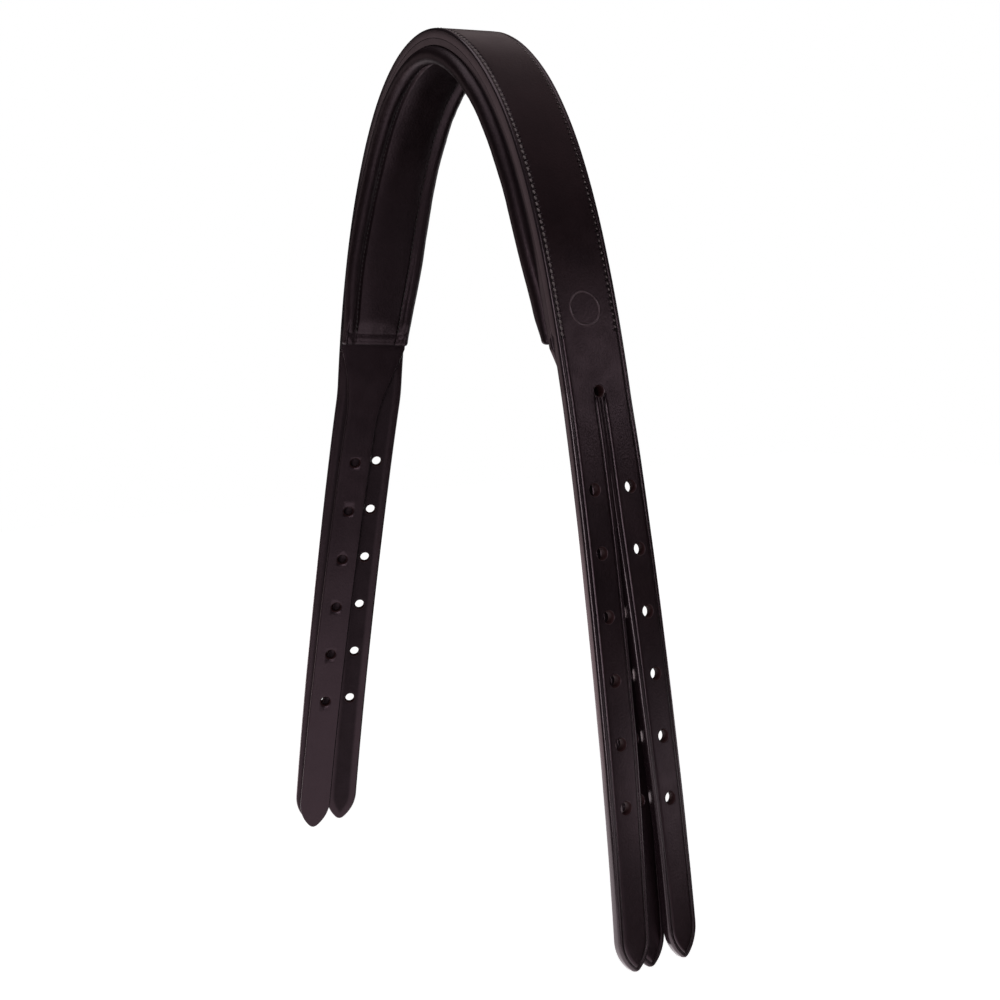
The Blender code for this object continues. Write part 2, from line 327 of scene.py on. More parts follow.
def press_ring(item):
    """Presses the groove of a blind ring into the face of the flat crown strap."""
    lift = (groove_half_width ** 2 - groove_depth ** 2) / (2 * groove_depth)
    mesh = bmesh.new()
    rings = []
    for turn_x, turn_y in circle(1.0, ring_sides):
        ring = []
        for run, rise in circle(groove_depth + lift, groove_sides):
            reach = ring_radius + run
            place = (ring_along + reach * turn_x, ring_across + reach * turn_y, lift + rise)
            ring.append(mesh.verts.new(place))
        rings.append(ring)
    join_rings(mesh, rings + rings[:1])
    cut_away(item, mesh)


def waviness(along, over, seed):
    """The unevenness of a hide: broad waves of 34 by 22 mm and small ones of 11 by 9 mm."""
    broad = noise.noise(Vector((along / 34, over / 22, seed)))
    small = noise.noise(Vector((along / 11, over / 9, seed + 7)))
    return 0.16 * broad + 0.05 * small


def hole_wall(along, over, holes):
    """One on the wall of a hole, fading to nought half a millimetre away from it."""
    reaches = [math.hypot(along - x, over - y) - radius for x, y, radius in holes]
    return 1 - eased(min(reaches), 0.1, 0.5) if holes else 0.0


def bend_over_poll(item, half_width, slope, layer, shape, seed, dressed=whole, holes=()):
    """Records where each point lies on the flat leather, then bends the leather over the poll."""
    top, thickness = layer[:2]
    names = ("hole_wall", "along", "across", "from_edge", "face_side", "dressed")
    records = {name: [] for name in names}
    for vertex in item.data.vertices:
        along, over, out = vertex.co
        edge = 1 if over > 0 else -1
        inset = max(half_width(along, edge) - abs(over), 0.0)
        height = (out - top) / thickness + 1
        records["hole_wall"].append(hole_wall(along, over, holes))
        records["along"].append(along)
        records["across"].append(over)
        records["from_edge"].append(inset * math.cos(math.atan(slope(along))))
        records["face_side"].append(height)
        records["dressed"].append(dressed(abs(along), edge))
        along, over, out = shape(along, over, out)
        loose = max(height, eased(abs(along), loose_start, loose_end))
        vertex.co = bent(along, over, out + loose * waviness(along, over, seed))
    for name in names:
        item.data.attributes.new(name, "FLOAT", "POINT").data.foreach_set("value", records[name])
    item.data.shade_smooth()
    item.data.set_sharp_from_angle(angle=math.radians(hide_edge_angle))


# The tip of a billet: two arcs that run into a small round nose
tip_radius, nose_radius = 2.2 * billet_half_width, 2.6
tip_length = math.sqrt(tip_radius ** 2 - (tip_radius - billet_half_width) ** 2)
nose_middle = math.sqrt((tip_radius - nose_radius) ** 2 - (tip_radius - billet_half_width) ** 2)
nose_start = tip_radius * nose_middle / (tip_radius - nose_radius)
nose_end = nose_middle + nose_radius
steepest_slope = 7.0


def tip_half_width(distance, tip):
    run = min(distance - (tip - tip_length), nose_end)
    if run <= 0:
        return billet_half_width
    if run <= nose_start:
        return math.sqrt(tip_radius ** 2 - run ** 2) - (tip_radius - billet_half_width)
    return math.sqrt(max(nose_radius ** 2 - (run - nose_middle) ** 2, 0.0))


def tip_slope(distance, tip):
    run = min(max(distance - (tip - tip_length), 0.0), nose_end)
    if run <= nose_start:
        return run / math.sqrt(tip_radius ** 2 - run ** 2)
    run -= nose_middle
    return min(run / math.sqrt(max(nose_radius ** 2 - run ** 2, 1e-6)), steepest_slope)


def tip_stations(start, tip):
    """Distances of a billet's sections: finer in its first 24 mm, where it bends, and round its tip."""
    bending_end, shoulder = start + 24.0, tip - tip_length
    curve = [shoulder + nose_end * share for share in crowding(24)]
    return spaced(start, bending_end, 1.2) + spaced(bending_end, shoulder, 2.5)[1:] + curve


def cupped(distance, over):
    """How far a hanging billet's edges have curled inwards."""
    return billet_curl * eased(distance, curl_start, curl_end) * (over / billet_half_width) ** 2


def cut_billet(body, side, mesh, layer):
    """Lays a flat billet on its own side of the poll and punches its buckle holes; gives it and them."""
    for vertex in mesh.verts:
        vertex.co.x *= side
    bmesh.ops.recalc_face_normals(mesh, faces=mesh.faces[:])
    billet = mesh_object(body + "_billet_leather", mesh)
    holes = [(side * (first_hole + hole_pitch * number), 0, hole_radius) for number in range(hole_count)]
    punch(billet, holes, layer)
    return billet, holes


def hang_billet(billet, body):
    """Bakes a billet's placement into its mesh and hides the CAD billet that it stands in for."""
    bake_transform(billet)
    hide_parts(body + "_billet")


def make_crown_strap():
    def half(along, edge):
        return strap_half_width

    def shape(along, over, out):
        return along, over, out

    stations = spaced(-slit_top, slit_top, 2.5)
    mesh = flat_strap(stations, half, level, crown_layer, whole, whole, laminated)
    strap = mesh_object("crown_strap_leather", mesh)
    stops = [(slit_top, 0, stop_hole_radius), (-slit_top, 0, stop_hole_radius)]
    punch(strap, stops, crown_layer)
    press_ring(strap)
    bend_over_poll(strap, half, level, crown_layer, shape, crown_seed, whole, stops)
    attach(strap, "crown")
    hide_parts("crown_strap")
    return strap


def slit_filling(prefix, distance):
    """How much fuller a billet is on its slit side, so that the slit looks nearly closed."""
    growth, fade_from, fade_to = slit_fill[prefix]
    full = slit_fullness + min(max(distance - billet_root, 0.0) * growth, slit_fullest)
    return full * (1 - eased(distance, fade_from, fade_to))


def make_billet(side, prefix, role, centre):
    body = f"{prefix}_{role}"
    inner_side = 1 if centre < 0 else -1

    def half(along, edge):
        full = slit_filling(prefix, abs(along)) if edge == inner_side else 0.0
        return tip_half_width(abs(along), billet_tip) + full

    def slope(along):
        return tip_slope(abs(along), billet_tip)

    def creased(distance, edge):
        return eased(distance, slit_top, slit_top + 4) if edge == inner_side else 1.0

    def beaded(distance, edge):
        return parting(distance, slit_parts, slit_apart) if edge == inner_side else 1.0

    def shape(along, over, out):
        stray = lean[body] * eased_run(abs(along), slit_top, 2 * (billet_root - slit_top))
        turned = billet_twist.get(body, 0.0) * eased(abs(along), twist_start, twist_end) * over
        return along, centre + over + stray, out - cupped(abs(along), over) - turned

    stations = tip_stations(slit_top, billet_tip)
    mesh = flat_strap(stations, half, slope, crown_layer, creased, beaded, whole, True)
    billet, holes = cut_billet(body, side, mesh, crown_layer)
    stop = (side * slit_top, -centre, stop_hole_radius)
    punch(billet, [stop], crown_layer)
    bend_over_poll(billet, half, slope, crown_layer, shape, crown_seed, beaded, holes + [stop])
    hang_billet(billet, body)
    return billet


# Noseband strap and its billets
sewn_start, sewn_end = 150.0, 160.0


def noseband_half_width(along, edge):
    distance = abs(along)
    if distance >= taper_end:
        return tip_half_width(distance, noseband_tip)
    share = max(distance - taper_start, 0.0) / (taper_end - taper_start)
    return strap_half_width - (strap_half_width - billet_half_width) * math.sin(share * math.pi / 2)


def noseband_slope(along):
    distance = abs(along)
    if distance >= taper_end:
        return tip_slope(distance, noseband_tip)
    if distance <= taper_start:
        return 0.0
    length = taper_end - taper_start
    share = (distance - taper_start) / length
    return (strap_half_width - billet_half_width) * math.cos(share * math.pi / 2) * math.pi / 2 / length


def pressed_up(distance, out):
    """How far the noseband strap swells to meet the crown strap where the layers are sewn together."""
    share = (out - noseband_top) / noseband_thickness + 1
    return share * sewn_lift * (1 - eased(distance, sewn_start, sewn_end))


def make_noseband_strap():
    """The level middle of the inner strap, between the crown strap and the pad."""
    def shape(along, over, out):
        return along, over, out + pressed_up(abs(along), out)

    stations = spaced(-middle_reach, middle_reach, 4.0)
    pattern = (noseband_half_width, level, noseband_layer)
    mesh = flat_strap(stations, *pattern, nowhere, laminated, whole)
    strap = mesh_object("noseband_strap_leather", mesh)
    bend_over_poll(strap, *pattern, shape, noseband_seed)
    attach(strap, "crown")
    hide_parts("noseband_strap")
    return strap


def make_noseband_billet(side, prefix):
    body = f"{prefix}_noseband"
    straying = noseband_stray.get(prefix, 0.0) / stray_run

    def shape(along, over, out):
        distance = abs(along)
        stray = straying * min(eased_run(distance, stray_start, stray_ease), stray_run)
        stray += lean[body] * max(distance - taper_end, 0.0)
        drop = noseband_stand_off * eased(distance, pad_half_length, taper_end)
        return along, over + stray, out + pressed_up(distance, out) - drop - cupped(distance, over)

    stations = spaced(middle_reach, taper_end, 2.0)
    stations += tip_stations(taper_end, noseband_tip)[1:]
    pattern = (noseband_half_width, noseband_slope, noseband_layer)
    mesh = flat_strap(stations, *pattern, whole, laminated, whole, True)
    billet, holes = cut_billet(body, side, mesh, noseband_layer)
    bend_over_poll(billet, *pattern, shape, noseband_seed, whole, holes)
    hang_billet(billet, body)
    return billet


# Poll pad: two rolls beside stitched channels, thinner at its ends, where the cover is hemmed
channel_half_width, channel_depth, underside_rise = 1.0, 4.7, 0.95
roll_start, roll_sweep, roll_steps = -128, 218, 24
end_thinning, thinning_start = 0.30, 142.0
hem_start, hem_end, hem_press, hem_level = 141.0, 149.0, 0.55, 4.6
end_round, end_round_press, end_round_narrowing = 1.6, 0.55, 0.06
hem_line_at, hem_line_width, hem_line_depth = 148.6, 0.55, 0.30
hem_fold_at, hem_fold_width, hem_fold_height = 150.6, 0.9, 0.22
corner_fold_at, corner_fold_height, corner_fold_depth = 151.5, 0.22, 0.24
puff_height, wrinkle_height = 0.22, 0.10


def pad_width_ratio(distance):
    narrowing = eased(distance, pad_narrowing_start, pad_half_length)
    return 1 - narrowing * (1 - pad_end_half_width / pad_half_width)


def full_half_section():
    """Half of the pad's full section, from the middle of its underside round the roll to its top."""
    roll_height = pad_top - roll_radius - 0.1
    crown_reach = channel_centre - channel_half_width
    shoulder = pad_underside + underside_rise
    bed = pad_top - channel_depth
    points = []
    for share in [0.0] + crowding(14):
        over = crown_reach * share
        points.append((over, pad_underside + underside_rise * (over / crown_reach) ** 3))
    for share in (0.3, 0.6, 0.85, 1.0):
        sag = math.sin(share * math.pi / 2)
        over = crown_reach + channel_half_width * share
        points.append((over, shoulder + (bed - shoulder) * sag ** 1.6))
    for step in range(1, roll_steps + 1):
        angle = math.radians(roll_start + roll_sweep * step / roll_steps)
        over = pad_half_width - roll_radius + roll_radius * math.cos(angle)
        points.append((over, roll_height + roll_radius * math.sin(angle)))
    return points + [(over, pad_top) for over in (10.0, 6.0, 0.0)]


def pad_half_section(distance):
    """Half of the pad's section here: pressed at the hem, thinner to its end and sewn to the strap."""
    hem = eased(distance, hem_start, hem_end)
    depth = 1 - end_thinning * eased(distance, thinning_start, pad_half_length)
    soft_end = max(distance - (pad_half_length - end_round), 0.0) / end_round
    tuck = 1 - math.sqrt(max(1 - soft_end ** 2, 0.0))
    ratio = pad_width_ratio(distance)
    hemmed_reach = pad_half_width - roll_radius + 1
    shaped = []
    for over, out in full_half_section():
        if out < pad_top - 2.0 and over < hemmed_reach:
            pressed = pad_top - hem_level + 0.1 * math.cos(over)
            out = out + hem_press * hem * (pressed - out)
        out = pad_top + (out - pad_top) * depth
        out = pad_top + (out - pad_top) * (1 - end_round_press * tuck)
        out += sewn_lift * max(1 - (pad_top - out) / 2.5, 0.0)
        shaped.append((over * ratio * (1 - end_round_narrowing * tuck), out))
    return shaped


def pad_tucks(distance, over):
    """The sewn hem across each end and the cover's folds at its corners, as a height in millimetres."""
    edge_over = pad_half_width * pad_width_ratio(distance)
    inside = 1 - eased(over, edge_over - 4.5, edge_over - 2.0)
    hem = hem_fold_height * ridge(distance, hem_fold_at, hem_fold_width)
    hem -= hem_line_depth * ridge(distance, hem_line_at, hem_line_width)
    from_fold = (distance - corner_fold_at) * 0.64 + (over - (edge_over - 1.0)) * 0.77 + 3.2
    corner = eased(distance, 143.0, 147.0) * eased(over, edge_over - 6.5, edge_over - 4.5)
    corner *= 1 - eased(over, edge_over - 2.2, edge_over - 0.6)
    fold = corner_fold_height * ridge(from_fold, 1.2, 0.8)
    fold -= corner_fold_depth * ridge(from_fold, 0.0, 0.6)
    return inside * hem + corner * fold


def puffing(along, over):
    """How far the soft cover puffs out over its foam, with fine wrinkles that fade down the legs."""
    puff = puff_height * noise.noise(Vector((along / 17, over / 9, 21)))
    wrinkle = wrinkle_height * noise.noise(Vector((along / 3.6, over / 14, 5)))
    return puff + wrinkle * (1 - 0.6 * eased(abs(along), 40, 110))


def pad_stations():
    """Distances of the pad's sections: finer at the hem, and finest round the last edge."""
    fine_start, round_start = 143.0, pad_half_length - end_round
    distances = spaced(0.0, fine_start, 1.6) + spaced(fine_start, round_start, 0.4)[1:]
    distances += [round_start + end_round * share for share in crowding(7)]
    return [-distance for distance in reversed(distances[1:])] + distances


def make_pad():
    mesh = bmesh.new()
    record = {name: mesh.verts.layers.float.new(name) for name in ("along", "across", "from_edge")}
    rings = []
    for along in pad_stations():
        half = pad_half_section(abs(along))
        ring = []
        for over, out in half + [(-over, out) for over, out in reversed(half[1:-1])]:
            vertex = mesh.verts.new(bent(along, over, out))
            vertex[record["along"]] = along
            vertex[record["across"]] = over
            vertex[record["from_edge"]] = out - pad_top
            ring.append(vertex)
        rings.append(ring)
    join_rings(mesh, rings)
    for ring in (rings[0], rings[-1]):
        centre = mesh.verts.new(sum((vertex.co for vertex in ring), Vector()) / len(ring))
        for i in range(len(ring)):
            mesh.faces.new((ring[i], ring[(i + 1) % len(ring)], centre))
    bmesh.ops.recalc_face_normals(mesh, faces=mesh.faces[:])
    mesh.normal_update()
    for vertex in mesh.verts:
        along, over = vertex[record["along"]], vertex[record["across"]]
        if vertex[record["from_edge"]] <= -1.0:
            vertex.co += vertex.normal * puffing(along, over) * MM
            vertex.co += vertex.normal * pad_tucks(abs(along), abs(over)) * MM
    pad = mesh_object("poll_pad_leather", mesh)
    pad.data.shade_smooth()
    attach(pad, "crown")
    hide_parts("poll_pad_cover", "poll_pad_foam")
    return pad


class Nodes:
    """Adds nodes to one tree, with plain values or the outputs of other nodes as their inputs."""

    def __init__(self, tree):
        self.tree = tree

    def give(self, node, inputs):
        for name, value in inputs.items():
            if isinstance(value, bpy.types.NodeSocket):
                self.tree.links.new(value, node.inputs[name])
            else:
                node.inputs[name].default_value = value

    def add(self, kind, inputs=None, **settings):
        made = self.tree.nodes.new(kind)
        for name, value in settings.items():
            setattr(made, name, value)
        self.give(made, inputs or {})
        return made

    def math(self, operation, a, b=None, clamp=False):
        inputs = {0: a} if b is None else {0: a, 1: b}
        return self.add("ShaderNodeMath", inputs, operation=operation, use_clamp=clamp).outputs[0]

    def times(self, a, b):
        return self.math("MULTIPLY", a, b)

    def minus(self, a, b):
        return self.math("SUBTRACT", a, b)

    def hypotenuse(self, run, side):
        squares = [self.math("POWER", length, 2.0) for length in (run, side)]
        return self.math("SQRT", self.math("ADD", *squares))

    def ramp(self, value, low, high, to_low=0.0, to_high=1.0):
        inputs = {"Value": value, "From Min": low, "From Max": high, "To Min": to_low, "To Max": to_high}
        return self.add("ShaderNodeMapRange", inputs, interpolation_type="SMOOTHSTEP").outputs["Result"]

    def mix(self, share, first, second):
        """The first colour turned into the second by a share."""
        first = (*first, 1) if isinstance(first, tuple) else first
        inputs = {"Factor": share, "A": first, "B": (*second, 1)}
        return self.add("ShaderNodeMix", inputs, data_type="RGBA").outputs["Result"]


def new_group(name, inputs, outputs, kind="ShaderNodeTree", sort="Float"):
    """A group with named inputs, each a usual value or a sort of socket, and outputs of one sort."""
    tree = bpy.data.node_groups.new(name, kind)
    for label, value in inputs.items():
        own_sort = {int: "Int", float: "Float"}.get(type(value), value)
        socket = tree.interface.new_socket(label, in_out="INPUT", socket_type="NodeSocket" + own_sort)
        if own_sort != value:
            socket.default_value = value
    for label in outputs:
        tree.interface.new_socket(label, in_out="OUTPUT", socket_type="NodeSocket" + sort)
    nodes = Nodes(tree)
    return nodes, nodes.add("NodeGroupInput").outputs


# Stitching
outer_height = -crease_depth - 0.10
lining_height = pad_top - 4.66
lining_stitch = {"Height": 0.00025, "Thread radius": 0.00028}


def one_stitch(nodes, given):
    """A thread that rises from one awl hole and dips into the next, as a closed tube."""
    half = nodes.times(given["Stitch length"], 0.5)
    back = nodes.times(half, -1.0)
    back_slant = nodes.times(given["Slant"], -1.0)
    sink = nodes.times(given["Height"], -1.3)
    crest = nodes.times(given["Height"], 1.9)
    bow_points = {
        "Resolution": 8,
        "Start": nodes.add("ShaderNodeCombineXYZ", {0: back, 1: back_slant, 2: sink}).outputs[0],
        "Middle": nodes.add("ShaderNodeCombineXYZ", {2: crest}).outputs[0],
        "End": nodes.add("ShaderNodeCombineXYZ", {0: half, 1: given["Slant"], 2: sink}).outputs[0],
    }
    bow = nodes.add("GeometryNodeCurveQuadraticBezier", bow_points)
    section = {"Resolution": 8, "Radius": given["Thread radius"]}
    thread = nodes.add("GeometryNodeCurvePrimitiveCircle", section)
    walls = {"Fill Caps": True, "Curve": bow.outputs[0], "Profile Curve": thread.outputs[0]}
    return nodes.add("GeometryNodeCurveToMesh", walls).outputs[0]


def stitch_turn(nodes, seed):
    """Lays a stitch along the seam and upright on the leather, each turned a little its own way."""
    tangent = nodes.add("GeometryNodeInputTangent")
    named = {"Name": "outward"}
    outward = nodes.add("GeometryNodeInputNamedAttribute", named, data_type="FLOAT_VECTOR")
    along = nodes.add("FunctionNodeAlignRotationToVector", {"Vector": tangent.outputs[0]}, axis="X")
    inputs = {"Rotation": along.outputs[0], "Vector": outward.outputs[0]}
    upright = nodes.add("FunctionNodeAlignRotationToVector", inputs, axis="Z", pivot_axis="X")
    limits = {"Min": (-0.03, -0.03, -0.10), "Max": (0.03, 0.03, 0.10), "Seed": seed}
    wander = nodes.add("FunctionNodeRandomValue", limits, data_type="FLOAT_VECTOR")
    unsteady = nodes.add("FunctionNodeEulerToRotation", {0: wander.outputs[0]})
    inputs = {"Rotation": upright.outputs[0], "Rotate By": unsteady.outputs[0]}
    return nodes.add("FunctionNodeRotateRotation", inputs, rotation_space="LOCAL").outputs[0]


def stitch_tree():
    """Lays one slanted stitch of thread at even steps along a seam line."""
    inputs = {
        "Seam line": "Geometry",
        "Stitches": 100,
        "Stitch length": 0.00145,
        "Slant": 0.00028,
        "Height": 0.00050,
        "Thread radius": 0.00050,
        "Seed": 4,
        "Thread": "Material",
    }
    nodes, given = new_group("Row of stitches", inputs, ("Stitches",), "GeometryNodeTree", "Geometry")
    seam = nodes.add("GeometryNodeMeshToCurve", {0: given["Seam line"]})
    inputs = {"Curve": seam.outputs[0], "Count": given["Stitches"]}
    steps = nodes.add("GeometryNodeResampleCurve", inputs, mode="COUNT")
    inputs = {
        "Points": steps.outputs[0],
        "Instance": one_stitch(nodes, given),
        "Rotation": stitch_turn(nodes, given["Seed"]),
    }
    placed = nodes.add("GeometryNodeInstanceOnPoints", inputs)
    real = nodes.add("GeometryNodeRealizeInstances", {0: placed.outputs[0]})
    smooth = nodes.add("GeometryNodeSetShadeSmooth", {"Geometry": real.outputs[0]})
    inputs = {"Geometry": smooth.outputs[0], "Material": given["Thread"]}
    dyed = nodes.add("GeometryNodeSetMaterial", inputs)
    nodes.add("NodeGroupOutput", {0: dyed.outputs[0]})
    return nodes.tree


def make_stitch_row(name, tree, reach, line, thread, lining):
    """One row of stitching, this far down both legs, where line gives its place across and out."""
    count = round(2 * reach / stitch_pitch)
    first = stitch_pitch / 2 - reach
    last = stitch_pitch * (count - 0.5) - reach
    points, normals = [], []
    for along in spaced(first, last, 0.6):
        over, out = line(along)
        points.append(bent(along, over, out))
        outward = frame_at(along)[2]
        normals.extend(-outward if lining else outward)
    data = bpy.data.meshes.new(name)
    data.from_pydata(points, [(i, i + 1) for i in range(len(points) - 1)], [])
    data.attributes.new("outward", "FLOAT_VECTOR", "POINT").data.foreach_set("vector", normals)
    row = add_object(name, data)
    modifier = row.modifiers.new("stitches", "NODES")
    modifier.node_group = tree
    settings = {"Stitches": count, "Thread": thread, "Seed": count}
    if lining:
        settings.update(lining_stitch)
    for item in tree.interface.items_tree:
        if item.in_out == "INPUT" and item.name in settings:
            modifier[item.identifier] = settings[item.name]
    apply_modifiers(row)
    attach(row, "crown")
    return row


def strap_line(over):
    def line(along):
        return over, outer_height
    return line


def channel_line(side):
    def line(along):
        return side * channel_centre * pad_width_ratio(abs(along)), lining_height
    return line


# Shared effects for the materials

def noise_over(nodes, position, scale, detail, roughness=0.5):
    inputs = {"Vector": position, "Scale": scale, "Detail": detail, "Roughness": roughness}
    return nodes.add("ShaderNodeTexNoise", inputs).outputs[0]


def grain_group():
    """Hide grain: fine pebbles, pores and slow changes of tone."""
    inputs = {"Position": "Vector", "Pebbles per metre": 1500.0}
    nodes, given = new_group("Hide grain", inputs, ("Height", "Tone", "Rub"))
    position = given["Position"]
    cells = {"Vector": position, "Scale": given["Pebbles per metre"]}
    pebble = nodes.add("ShaderNodeTexVoronoi", cells, feature="SMOOTH_F1")
    pebbles = nodes.times(pebble.outputs["Distance"], 0.7)
    pores = nodes.times(noise_over(nodes, position, 2600.0, 3.0), 0.3)
    nodes.add("NodeGroupOutput", {
        "Height": nodes.math("ADD", pebbles, pores),
        "Tone": noise_over(nodes, position, 42.0, 5.0, 0.6),
        "Rub": noise_over(nodes, position, 150.0, 4.0),
    })
    return nodes.tree


def edge_group():
    """Masks of a strap's dressed rim and creased line, from the distance to that edge in millimetres:
    they carry the rim's painted highlight, the crease's painted shade and the polish of both.
    """
    inputs = {"From edge": 5.0, "Face side": 1.0, "Dressed": 1.0}
    inputs.update({"Rim width": 1.5, "Crease inset": crease_inset})
    nodes, given = new_group("Worked edge", inputs, ("Rim", "Crease"))
    from_edge = given["From edge"]
    rim_fade = nodes.minus(given["Rim width"], 0.5)
    rim = nodes.ramp(from_edge, rim_fade, given["Rim width"], 1.0, 0.0)
    is_face = nodes.ramp(given["Face side"], 0.3, 0.6)
    from_crease = nodes.math("ABSOLUTE", nodes.minus(from_edge, given["Crease inset"]))
    crease_line = nodes.ramp(from_crease, 0.10, 0.42, 1.0, 0.0)
    cut_edge = nodes.ramp(from_edge, 0.2, 0.6, 1.0, 0.0)
    dressed = nodes.math("MAXIMUM", nodes.times(rim, is_face), cut_edge)
    nodes.add("NodeGroupOutput", {
        "Rim": nodes.times(dressed, given["Dressed"]),
        "Crease": nodes.times(crease_line, is_face),
    })
    return nodes.tree


def awl_group():
    """The awl holes between the stitches of one row, from its first to its last."""
    inputs = {"Along": 0.0, "Across": 0.0, "Row": rear_row, "First": 0.0, "Last": 100.0}
    inputs["Pitch"] = stitch_pitch
    nodes, given = new_group("Awl holes", inputs, ("Hole",))
    half_length, half_width, past_end = 0.50, 0.95, 0.6
    from_row = nodes.math("ABSOLUTE", nodes.minus(given["Across"], given["Row"]))
    run = nodes.minus(given["Along"], given["First"])
    steps = nodes.math("DIVIDE", run, given["Pitch"])
    nearest = nodes.minus(steps, nodes.math("ROUND", steps))
    from_hole = nodes.times(nodes.math("ABSOLUTE", nearest), given["Pitch"])
    long_share = nodes.math("DIVIDE", from_hole, half_length)
    wide_share = nodes.math("DIVIDE", from_row, half_width)
    hole = nodes.ramp(nodes.hypotenuse(long_share, wide_share), 0.55, 1.1, 1.0, 0.0)
    row_start = nodes.minus(given["First"], past_end)
    row_end = nodes.math("ADD", given["Last"], past_end)
    after_start = nodes.math("GREATER_THAN", given["Along"], row_start)
    before_end = nodes.math("LESS_THAN", given["Along"], row_end)
    inside = nodes.times(after_start, before_end)
    nodes.add("NodeGroupOutput", {"Hole": nodes.times(hole, inside)})
    return nodes.tree


hide_grain = grain_group()
worked_edge = edge_group()
awl_holes = awl_group()

# Colours
strap_dark, strap_warm = (0.0085, 0.0046, 0.0056), (0.0170, 0.0092, 0.0108)
noseband_dark, noseband_warm = (0.0080, 0.0044, 0.0056), (0.0150, 0.0084, 0.0104)
pad_dark, pad_warm = (0.0070, 0.0039, 0.0046), (0.0130, 0.0074, 0.0088)
painted_edge_highlight, painted_ring_highlight = (0.022, 0.0155, 0.018), (0.088, 0.066, 0.072)
painted_awl_shade = (0.002, 0.001, 0.001)
raw_hide, painted_hole_rim_highlight = (0.022, 0.0055, 0.0048), (0.046, 0.033, 0.036)
linen_dark, linen_strand_highlight = (0.095, 0.070, 0.074), (0.250, 0.200, 0.205)
lining_dark, lining_strand_highlight = (0.010, 0.006, 0.007), (0.034, 0.024, 0.026)
wax_tint, shine_tint = (1.0, 0.86, 0.92, 1), (1.0, 0.68, 0.82, 1)


def new_material(name):
    material = bpy.data.materials.new(name)
    material.use_nodes = True
    return material, Nodes(material.node_tree)


def add_grain(nodes, pebbles):
    place = nodes.add("ShaderNodeTexCoord")
    inputs = {"Pebbles per metre": pebbles, "Position": place.outputs["Object"]}
    return nodes.add("ShaderNodeGroup", inputs, node_tree=hide_grain).outputs


def finish_surface(nodes, relief, surface):
    """Joins a surface's values, and its relief in metres, to the shader."""
    bump = nodes.add("ShaderNodeBump", {"Strength": 1.0, "Distance": 1.0, "Height": relief})
    nodes.give(nodes.tree.nodes["Principled BSDF"], {"Normal": bump.outputs["Normal"], **surface})


